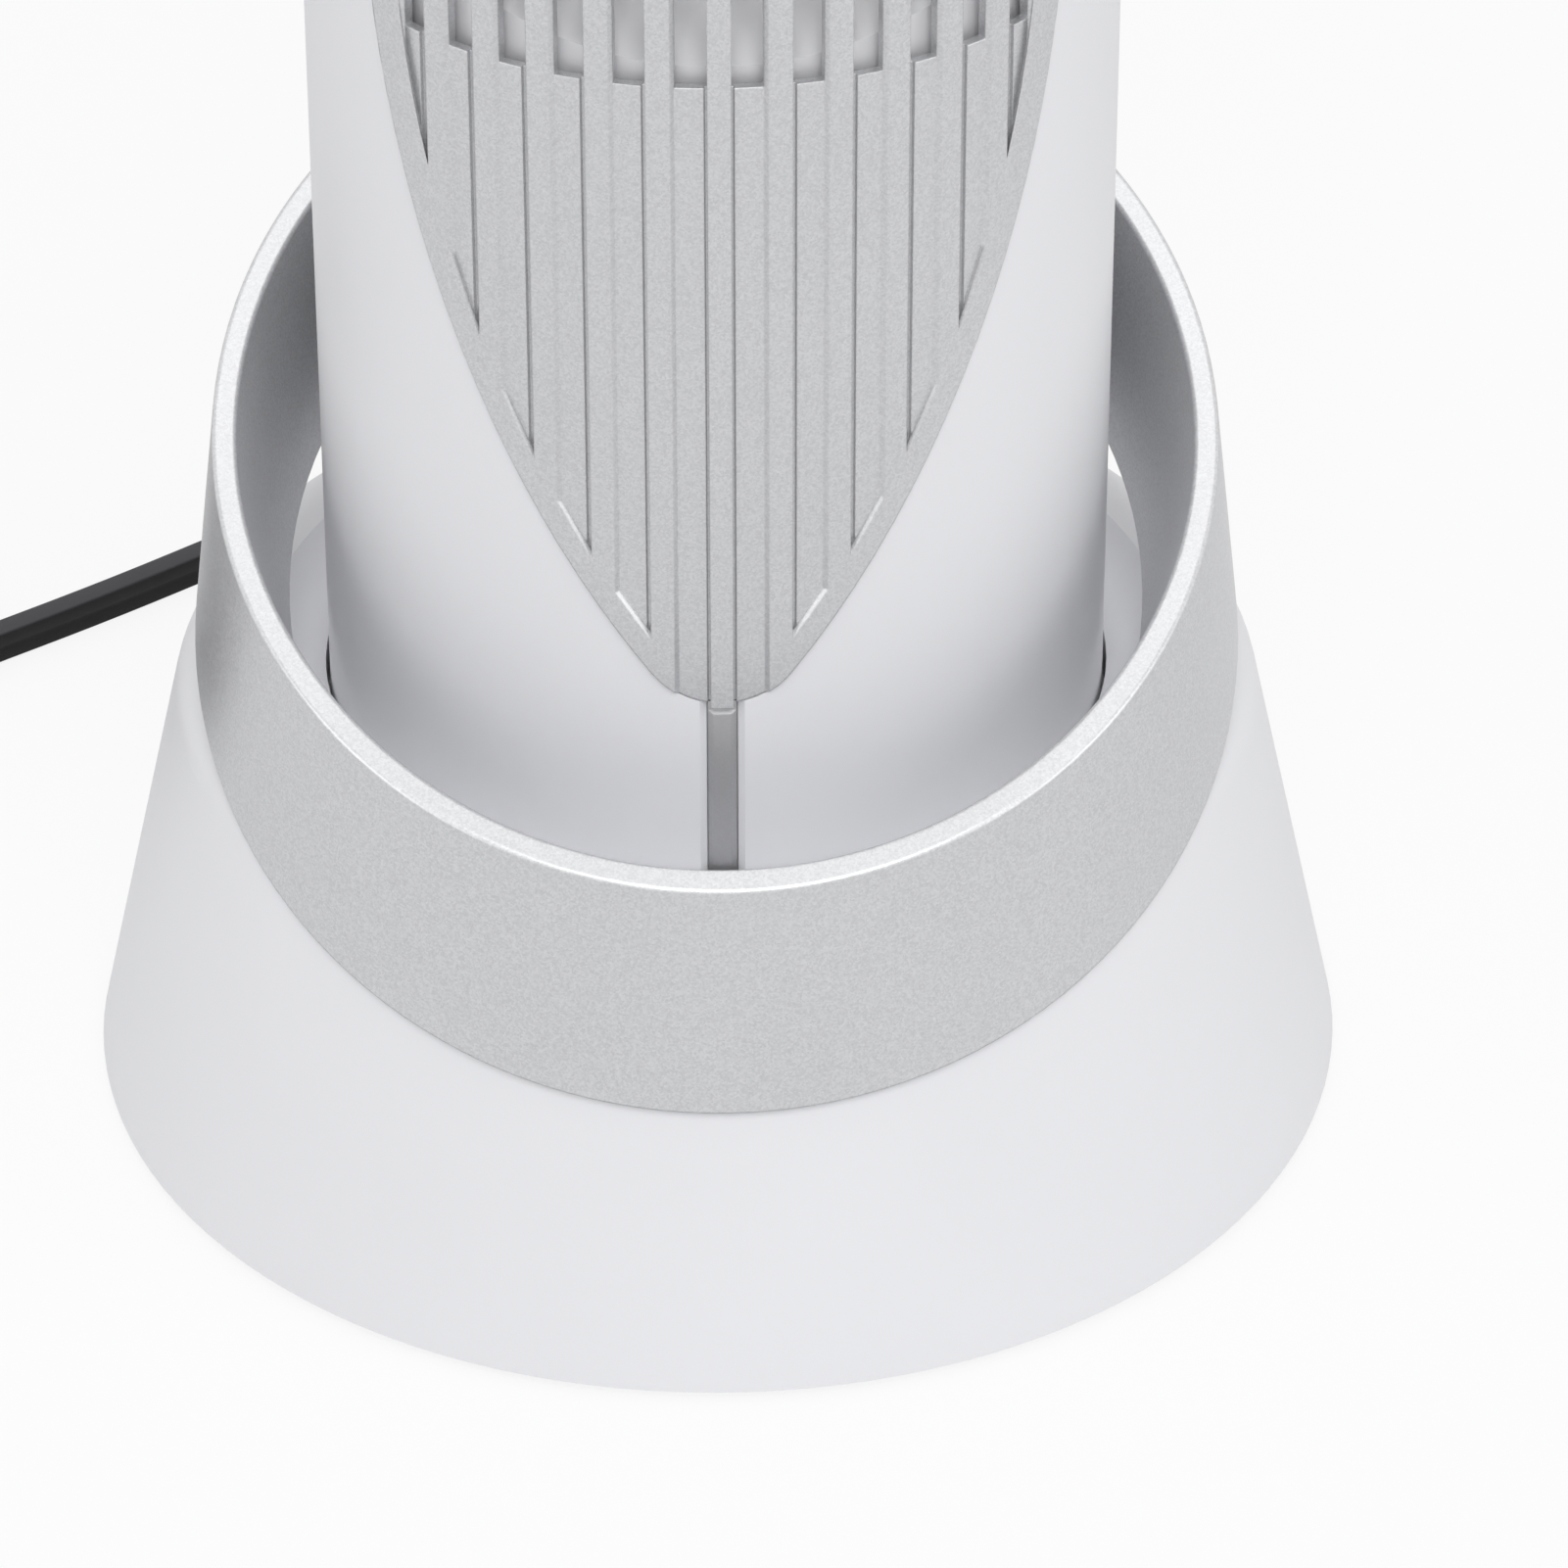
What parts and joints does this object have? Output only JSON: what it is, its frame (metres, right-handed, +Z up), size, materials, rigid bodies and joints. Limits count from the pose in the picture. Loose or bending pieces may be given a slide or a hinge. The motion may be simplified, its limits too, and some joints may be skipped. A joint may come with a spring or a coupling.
{
  "type": "desktop heater",
  "caption": "Round desktop fan heater: white tower with a leaf-shaped silver outlet grille, standing in a flared base with a slanted silver ring, with a mains cord.",
  "frame": {"origin": "centre of the round base on the floor plane", "axes": "+Z up the tower, -Y towards the front grille, +X to the right seen from the front"},
  "size_m": [0.2744, 0.2525, 0.3073],
  "materials": {
    "white_plastic": "fine satin white moulding",
    "silver_paint": "satin metallic silver paint on plastic",
    "silver_strip": "satin metallic silver paint on plastic",
    "duct_plastic": "matt light grey moulding",
    "black_plastic": "matt black moulding",
    "ivory_plastic": "matt ivory moulding",
    "tie_plastic": "soft black strap",
    "black_rubber": "smooth black cord rubber",
    "foot_rubber": "matt grey rubber",
    "steel": "plain bright steel",
    "brass_parts": "plain brass",
    "motor_can": "zinc-plated steel can",
    "cutout_metal": "plain metal cap",
    "fin_aluminium": "plain aluminium",
    "ceramic_bar": "matt grey ceramic",
    "lens": "clear amber lens"
  },
  "bodies": {
    "base": {"base_shell": "white_plastic", "bottom_plate": "white_plastic", "foot_pads": "foot_rubber", "base_screws": "steel", "accent_ring": "silver_paint", "tilt_switch": "black_plastic", "terminal_block": "ivory_plastic", "swing_motor": "motor_can", "motor_screws": "steel", "glide_ring": "ivory_plastic", "cord_gland": "black_rubber", "power_cord": "black_rubber", "cord_coil": "black_rubber", "cord_tie": "tie_plastic", "plug_body": "black_rubber", "plug_pins": "brass_parts"},
    "tower": {"swing_shaft": "steel", "foot_disc": "white_plastic", "leaf_grille": "silver_paint", "tail_strip": "silver_strip", "tower_front": "white_plastic", "tower_rear": "white_plastic", "tower_screws": "steel", "top_cap": "white_plastic", "indicator_lens": "lens", "rotary_switch": "black_plastic", "air_duct": "duct_plastic", "heater_frame": "duct_plastic", "heater_fins": "fin_aluminium", "heating_bars": "ceramic_bar", "heater_tabs": "brass_parts", "thermal_cutout": "cutout_metal", "fan_shroud": "black_plastic", "fan_motor": "motor_can"},
    "fan": {"fan_impeller": "black_plastic", "fan_shaft": "steel"},
    "knob": {"control_knob": "silver_paint", "switch_shaft": "steel"}
  },
  "joints": [
    {"name": "tower_swing", "type": "hinge", "parent": "base", "child": "tower", "pos_m": [0, 0, 0.0528], "axis": [0, 0, 1], "range_deg": [-35, 35]},
    {"name": "fan_spin", "type": "hinge", "parent": "tower", "child": "fan", "pos_m": [0, 0, 0.21375], "axis": [0, 1, 0], "continuous": true},
    {"name": "knob_turn", "type": "hinge", "parent": "tower", "child": "knob", "pos_m": [0, 0, 0.296], "axis": [0, 0, -1], "range_deg": [0, 180]}
  ]
}
